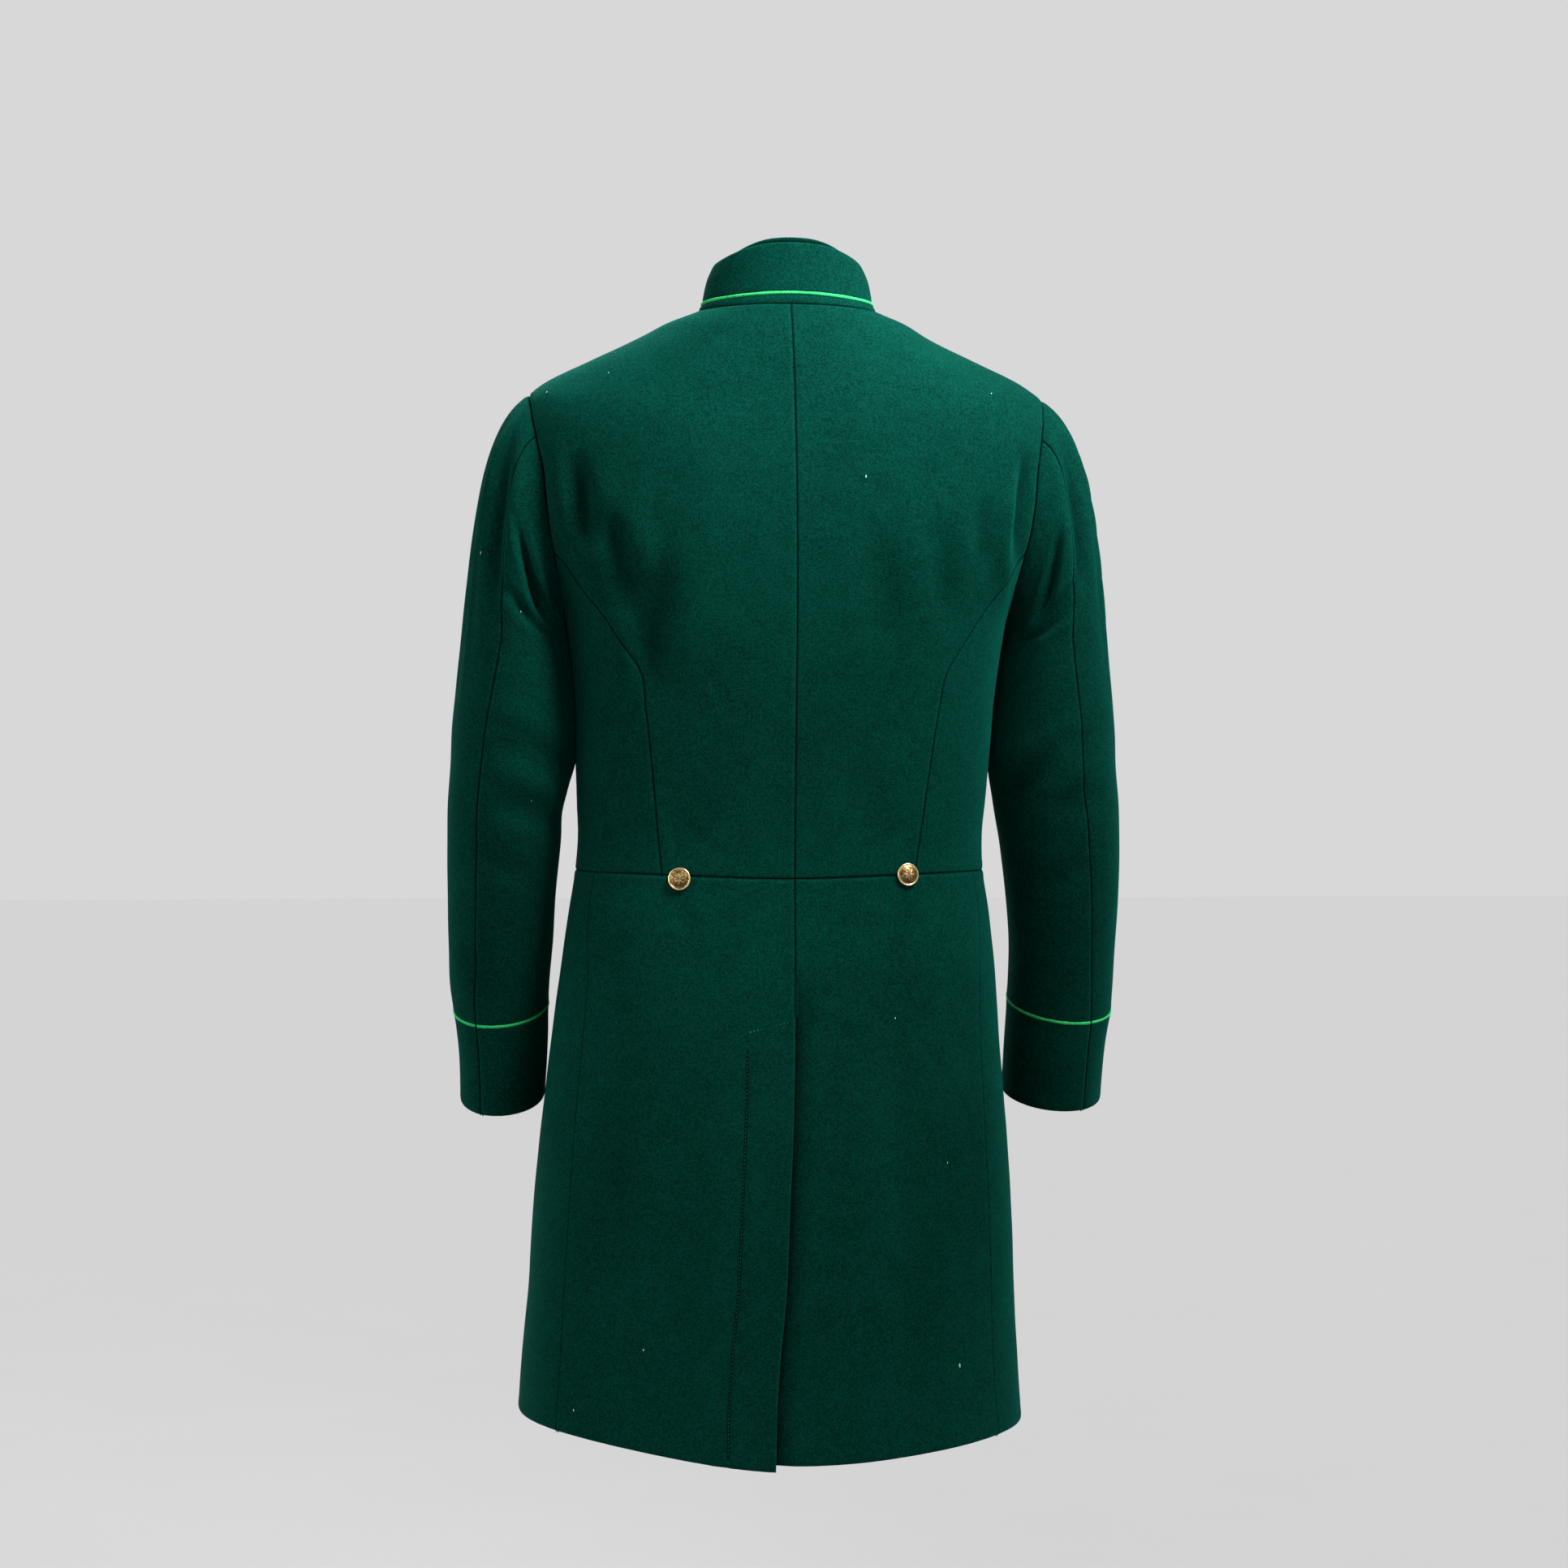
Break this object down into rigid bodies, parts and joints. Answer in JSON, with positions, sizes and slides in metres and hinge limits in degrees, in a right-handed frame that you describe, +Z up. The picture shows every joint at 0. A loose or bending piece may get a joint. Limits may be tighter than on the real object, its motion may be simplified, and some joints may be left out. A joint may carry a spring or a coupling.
{
  "type": "military coat",
  "caption": "Knee-length military frock coat in dark green melton wool with stand collar, bright green piping, long sleeves, waist seam and back vent.",
  "frame": {"origin": "middle of the neck opening at the level of the neck seam at the sides, where the wearer holds the coat", "axes": "+Z up along the worn coat, +Y out of the back, +X to the wearer's left"},
  "size_m": [0.6208, 0.3313, 1.0929],
  "materials": {
    "coat_cloth": "melton wool, matt with a soft nap",
    "piping": "smooth wool cord",
    "button": "antique gilt, domed with a raised rim"
  },
  "bodies": {
    "root": {"back_left": "coat_cloth", "side_body_left": "coat_cloth", "front_left": "coat_cloth", "skirt_back_left": "coat_cloth", "skirt_front_left": "coat_cloth", "top_sleeve_left": "coat_cloth", "under_sleeve_left": "coat_cloth", "cuff_top_left": "coat_cloth", "cuff_under_left": "coat_cloth", "back_right": "coat_cloth", "side_body_right": "coat_cloth", "front_right": "coat_cloth", "skirt_back_right": "coat_cloth", "skirt_front_right": "coat_cloth", "top_sleeve_right": "coat_cloth", "under_sleeve_right": "coat_cloth", "cuff_top_right": "coat_cloth", "cuff_under_right": "coat_cloth", "collar_foot": "coat_cloth", "collar": "coat_cloth", "collar_facing": "coat_cloth", "piping_collar": "piping", "piping_cuff_top_left": "piping", "piping_cuff_under_left": "piping", "piping_cuff_top_right": "piping", "piping_cuff_under_right": "piping", "waist_button_left": "button", "waist_button_right": "button", "front_button_1": "button", "front_button_2": "button", "front_button_3": "button", "front_button_4": "button", "front_button_5": "button", "front_button_6": "button", "front_button_7": "button", "front_button_8": "button", "front_button_9": "button"}
  },
  "joints": []
}
